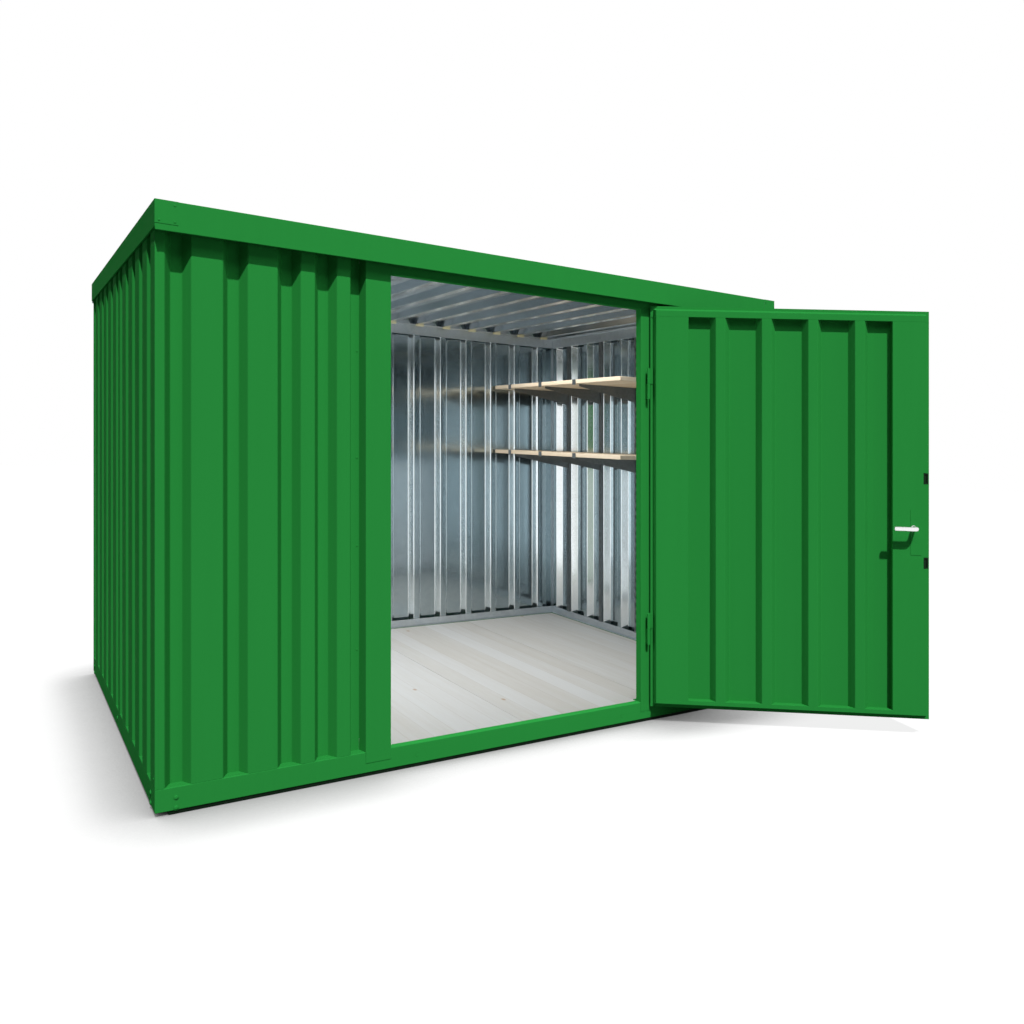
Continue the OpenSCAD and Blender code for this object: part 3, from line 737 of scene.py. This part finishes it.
rail_low = Vector((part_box("top_rail_left")[0].x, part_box("top_rail_front")[0].y,
                   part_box("top_rail_back")[0].z))
rail_high = Vector((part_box("top_rail_right")[1].x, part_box("top_rail_back")[1].y,
                    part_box("top_rail_back")[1].z))
rail_thick = 0.002
rail_width = 0.040
rail_screw_z = rail_low.z + 0.024
screws_round("roof_rail_screws", rail_low, rail_high, rail_thick, rail_screw_z)

corner_bolt = mushroom("corner_bolt", 0.0065, 0.0050, sides=16, collar=0.0085)
corner_bolt_z = rail_low.z + 0.030
places = []
for inset in (0.052, 0.076):
    for side in (-1, 1):
        x = side * (rail_high.x - inset)
        places.append(((x, rail_high.y - rail_thick, corner_bolt_z), front))
        places.append(((x, rail_low.y + rail_thick, corner_bolt_z), back))
    for y in (rail_low.y + inset, rail_high.y - inset):
        places.append(((rail_low.x + rail_thick, y, corner_bolt_z), right))
        places.append(((rail_high.x - rail_thick, y, corner_bolt_z), left))
fixings("roof_corner_bolts", corner_bolt, places, zinc)

# These pale yellow blocks sit where pale patches show at the ribs' ends.
rib_end_tones = ((0.86, 0.80, 0.50, 1), (0.93, 0.89, 0.63, 1))
rib_end_finish = Finish("pale_rib_end", Specular_IOR_Level=0.4)
tint = rib_end_finish.noise(rib_end_finish.place(), 60.0)
rib_end_finish.use(
    Base_Color=rib_end_finish.blend(tint, *rib_end_tones),
    Roughness=0.4 + 0.15 * tint,
)
rib_end_size = Vector((0.052, 0.018, 0.013))
rib_end_rim = 0.0025
rib_end_hollow = 0.002
rib_end_sink = 0.0005


def ease_edges(radius):
    """Rounds the edges of the edited piece and closes it."""
    bpy.ops.mesh.select_mode(type="EDGE")
    pick("edges", lambda e: len(e.link_faces) == 2 and e.calc_face_angle(0) > fold_angle)
    bpy.ops.mesh.bevel(offset=radius, segments=2, affect="EDGES")
    bpy.ops.object.mode_set(mode="OBJECT")


rib_end_block = block("rib_end_block", rib_end_size)
pick("faces", lambda f: f.normal.z < -0.9)
bpy.ops.mesh.inset(thickness=rib_end_rim)
bpy.ops.mesh.extrude_region_move(TRANSFORM_OT_translate={"value": (0, 0, rib_end_hollow)})
ease_edges(0.0008)
rib_end_edge = rail_width + rib_end_size.y / 2 - rib_end_sink
rib_end_z = rail_high.z - rib_end_size.z / 2 - rib_end_sink
upwards = (0, 0, 1)
places = [((x, rail_high.y - rib_end_edge, rib_end_z), upwards) for x in back_ribs]
places += [((x, rail_low.y + rib_end_edge, rib_end_z), upwards) for x in back_ribs]
fixings("rib_end_blocks", rib_end_block, places, rib_end_finish)


# ---- Shelves ----
# Two softwood shelves lie on pressed brackets, which hook into slotted galvanised
# uprights on the right wall. A small steel clip holds each shelf to its brackets.

shelf_tones = ((0.84, 0.73, 0.57, 1), (0.72, 0.58, 0.41, 1))
shelf_strip = 0.090
shelf_pine = pine_finish("shelf_pine", shelf_tones, shelf_strip)
for node in ("shelf_lower", "shelf_upper"):
    piece = rounded(node, 0.0025)
    paint_piece(piece, [shelf_pine], "container", node)
    keep_in_room_light(piece)

bracket_tones = ((0.13, 0.145, 0.15, 1), (0.24, 0.26, 0.27, 1))
bracket_zinc = zinc_finish("galvanised_brackets", grain=90.0, dull=0.2, pattern=0.5, metal=0.6,
                           tones=bracket_tones)
paint_piece(rounded("shelf_brackets", 0.0008), [bracket_zinc], "container",
            "shelf_brackets")

lip_size = Vector((0.003, 0.034, 0.032))
lip_rim = 0.006
lip_bulge = 0.0012
lip_rise = 0.009
shelf_clip = block("shelf_clip", lip_size)
pick("faces", lambda f: f.normal.x < -0.9)
bpy.ops.mesh.inset(thickness=lip_rim)
bpy.ops.mesh.extrude_region_move(TRANSFORM_OT_translate={"value": (-lip_bulge, 0, 0)})
ease_edges(0.0006)
upright_ys = side_ribs[5::2]
places = []
for node in ("shelf_lower", "shelf_upper"):
    shelf_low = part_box(node)[0]
    for y in upright_ys:
        place = (shelf_low.x - lip_size.x / 2, y, shelf_low.z + lip_rise)
        places.append((place, upwards))
fixings("shelf_clips", shelf_clip, places, bracket_zinc)


# ---- Shelf uprights ----
# Channels of galvanised strip, roll-formed with a row of slots down the web for the
# brackets' hooks, and screwed to the ribs of the right wall.

upright_low, upright_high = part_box("shelf_uprights")
upright_width = 0.030
upright_thick = 0.002
slot_pitch = 0.050
slot_width = 0.008
slot_height = 0.028
slot_corner = 0.0028
cell_count = int((upright_high.z - upright_low.z) / slot_pitch)
cell_height = (upright_high.z - upright_low.z) / cell_count
bpy.ops.mesh.primitive_grid_add(x_subdivisions=3, y_subdivisions=3, size=1)
upright = bpy.context.object
upright.name = "upright_strip"
cell_across = (-upright_width / 2, -slot_width / 2, slot_width / 2, upright_width / 2)
cell_up = (-cell_height / 2, -slot_height / 2, slot_height / 2, cell_height / 2)
for vertex in upright.data.vertices:
    column = round((vertex.co.x + 0.5) * 3)
    row = round((vertex.co.y + 0.5) * 3)
    vertex.co = (0, cell_across[column], cell_up[row])
bpy.ops.object.mode_set(mode="EDIT")
bpy.ops.mesh.select_mode(type="FACE")
pick("faces", lambda f: f.calc_center_median().length < 0.001)
bpy.ops.mesh.delete(type="FACE")
bpy.ops.mesh.select_mode(type="VERT")
pick("verts", lambda v: abs(v.co.y) < slot_width and abs(v.co.z) < slot_height / 2 + 0.001)
bpy.ops.mesh.bevel(offset=slot_corner, segments=2, affect="VERTICES")
bpy.ops.object.mode_set(mode="OBJECT")
stack = upright.modifiers.new("cells", "ARRAY")
stack.count = cell_count
stack.use_relative_offset = False
stack.use_constant_offset = True
stack.constant_offset_displace = (0, 0, cell_height)
stack.use_merge_vertices = True
stack.merge_threshold = 0.0001
bpy.ops.object.modifier_apply(modifier=stack.name)
bpy.ops.object.mode_set(mode="EDIT")
bpy.ops.mesh.select_mode(type="EDGE")
upright_depth = upright_high.x - upright_low.x
for side in (-1, 1):
    pick("edges", lambda e: all(v.co.y * side > upright_width / 2 - 0.0001 for v in e.verts))
    bpy.ops.mesh.extrude_region_move(TRANSFORM_OT_translate={"value": (upright_depth, 0, 0)})
bpy.ops.mesh.select_all(action="SELECT")
bpy.ops.mesh.normals_make_consistent(inside=False)
bpy.ops.object.mode_set(mode="OBJECT")
web_way = sum(f.normal.x * f.area for f in upright.data.polygons if abs(f.normal.x) > 0.9)
strip = upright.modifiers.new("strip", "SOLIDIFY")
strip.thickness = upright_thick
strip.offset = -1 if web_way < 0 else 1
bpy.ops.object.modifier_apply(modifier=strip.name)
for i, y in enumerate(upright_ys):
    foot = (upright_low.x, y, upright_low.z + cell_height / 2)
    copy = copy_of(upright, f"shelf_upright_{i + 1}", Matrix.Translation(foot))
    only(copy)
    bpy.ops.object.mode_set(mode="EDIT")
    bpy.ops.mesh.select_all(action="SELECT")
    bpy.ops.mesh.remove_doubles(threshold=merge_gap)
    bpy.ops.mesh.normals_make_consistent(inside=False)
    bpy.ops.object.mode_set(mode="OBJECT")
    shade(copy)
    paint_piece(copy, [bracket_zinc], "container", "shelf_uprights")
bpy.data.objects.remove(upright)


# ---- Door leaf ----
# A welded frame of hollow folded bars and stiles round a ribbed sheet, painted
# green all over. Its thin rim laps over the doorway when it is shut.

for node in ("leaf_top_bar", "leaf_bottom_bar", "leaf_hinge_stile", "leaf_lock_stile"):
    paint_piece(rounded(node, 0.0018), [green], "door", node)
paint_piece(rounded("leaf_sheet", 0.0022, steps=2), [green], "door", "leaf_sheet")


# ---- Hinges ----
# Two lift-off hinges: a barrel with its pin on a lug of the door post, and a
# barrel on a folded strap behind the leaf's rim. Both are painted over.

for node, body in (("frame_hinges", "container"), ("leaf_hinges", "door")):
    piece = rounded(node, 0.0007, least=0.0012, steps=2)
    paint_piece(piece, [green], body, node)


# ---- Lock plate ----
# A thin steel plate that covers the lock case in the leaf's lock stile. It is riveted
# on before the leaf is painted, so it has the leaf's colour.

piece = rounded("lock_plate", 0.0005, least=0.001, steps=2)
paint_piece(piece, [green], "door", "lock_plate")


# ---- Painted shade in the bolt slots ----
# Two dark recessed blocks fill the bolt slots in the leaf's lock edge, above and below
# the lock, through which the bolts slide out. They are painted shade for the slots'
# hollow insides.

# Painted shade: near-black tones.
slot_shade_tones = ((0.002, 0.012, 0.004, 1), (0.006, 0.022, 0.008, 1))
slot_shade_paint = Finish("painted_slot_shade", Specular_IOR_Level=0.15)
around = slot_shade_paint.place()
slot_shade_paint.use(
    Base_Color=slot_shade_paint.blend(slot_shade_paint.noise(around, 90.0, 3.0), *slot_shade_tones),
    Roughness=0.5 + 0.2 * slot_shade_paint.noise(around, 40.0),
)
leaf_inner = Vector((-0.60181502, -0.79863551, 0))
leaf_along = Vector((-0.79863551, 0.60181502, 0))
hinge_point = Vector((0.674, -1.061, 0))
slot_shade_size = Vector((0.022, 0.027, 0.052))
slot_shade_rim = 0.005
slot_shade_hollow = 0.006
slot_shade_reach = 1.313
slot_shade_depth = 0.0035
slot_shade_middle = slot_shade_depth * leaf_inner - slot_shade_reach * leaf_along
for name, height in (("upper_slot_shade", 1.232), ("lower_slot_shade", 0.830)):
    slot_shade = block(name, slot_shade_size)
    for look in (Vector((-1, 0, 0)), Vector((0, 1, 0))):
        pick("faces", lambda f: f.normal.dot(look) > 0.9)
        bpy.ops.mesh.inset(thickness=slot_shade_rim)
        bpy.ops.mesh.extrude_region_move(TRANSFORM_OT_translate={"value": -slot_shade_hollow * look})
    ease_edges(0.0008)
    turn = Matrix((leaf_along, leaf_inner, leaf_along.cross(leaf_inner))).transposed().to_4x4()
    middle = hinge_point + slot_shade_middle + Vector((0, 0, height))
    slot_shade.data.transform(Matrix.Translation(middle) @ turn)
    shade(slot_shade)
    paint_piece(slot_shade, [slot_shade_paint], "door")


# ---- Levers ----
# A bent bar of satin light metal on each face of the leaf, on one spindle. The
# neck turns into the grip in a tight round bend, and the grip's end is domed. A
# small collar covers the spindle's hole.

lever_tones = ((0.86, 0.87, 0.88, 1), (0.93, 0.93, 0.94, 1))
light_metal = Finish("satin_light_metal", Metallic=1.0)
around = light_metal.place()
brushed = light_metal.noise(around, 260.0, 3.0)
light_metal.use(
    Base_Color=light_metal.blend(light_metal.noise(around, 24.0), *lever_tones),
    Roughness=0.3 + 0.12 * brushed,
)
light_metal.bump(brushed, 0.08, 0.0001)
bar_radius = 0.011
bend_radius = 0.017
grip_length = 0.108
grip_rise = 0.055
dome_length = 0.006
dome_steps = ((0.0028, 0.93), (0.0019, 0.8), (0.0013, 0.55))
collar_radius = bar_radius + 0.0025
collar_thick = 0.004
spindle_point = Vector((1.674690, -1.815074, 0.995))
leaf_half = 0.019
for node, way, lift in (("lever_inside", 1, 0.0025), ("lever_outside", -1, 0.001)):
    bpy.ops.mesh.primitive_cylinder_add(vertices=32, radius=collar_radius, depth=collar_thick,
                                        location=(0, 0, collar_thick / 2))
    lever = bpy.context.object
    lever.name = node + "_bar"
    bpy.ops.object.mode_set(mode="EDIT")
    bpy.ops.mesh.select_mode(type="FACE")
    pick("faces", lambda f: f.normal.z > 0.9)
    bpy.ops.mesh.bevel(offset=0.001, segments=2, affect="EDGES")
    pick("faces", lambda f: f.normal.z > 0.9 and f.calc_area() > 0.0002)
    bpy.ops.mesh.inset(thickness=0.0015)
    bpy.ops.mesh.extrude_region_move(
        TRANSFORM_OT_translate={"value": (0, 0, grip_rise - bend_radius - collar_thick)})
    bpy.ops.mesh.spin(steps=10, angle=math.pi / 2, axis=(0, -1, 0),
                      center=(bend_radius, 0, grip_rise - bend_radius))
    bpy.ops.mesh.extrude_region_move(
        TRANSFORM_OT_translate={"value": (grip_length - bend_radius - dome_length, 0, 0)})
    for step, shrink in dome_steps:
        bpy.ops.mesh.extrude_region_move(TRANSFORM_OT_translate={"value": (step, 0, 0)})
        bpy.ops.transform.resize(value=(1, shrink, shrink))
    bpy.ops.mesh.select_all(action="SELECT")
    bpy.ops.mesh.remove_doubles(threshold=merge_gap)
    bpy.ops.mesh.normals_make_consistent(inside=False)
    bpy.ops.object.mode_set(mode="OBJECT")
    bpy.ops.object.transform_apply(location=True, rotation=True, scale=True)
    outwards = leaf_inner * way
    neck_foot = spindle_point + outwards * (leaf_half + lift)
    crosswise = outwards.cross(leaf_along)
    turn = Matrix((leaf_along, crosswise, outwards)).transposed().to_4x4()
    lever.data.transform(Matrix.Translation(neck_foot) @ turn)
    shade(lever)
    paint_piece(lever, [light_metal], "lever", node)


# The patterns of the fixings have all been copied to their places, so they go.
for head in (bolt_head, sill_screw, small_rivet, pan_head, corner_bolt, rib_end_block, shelf_clip):
    bpy.data.objects.remove(head)
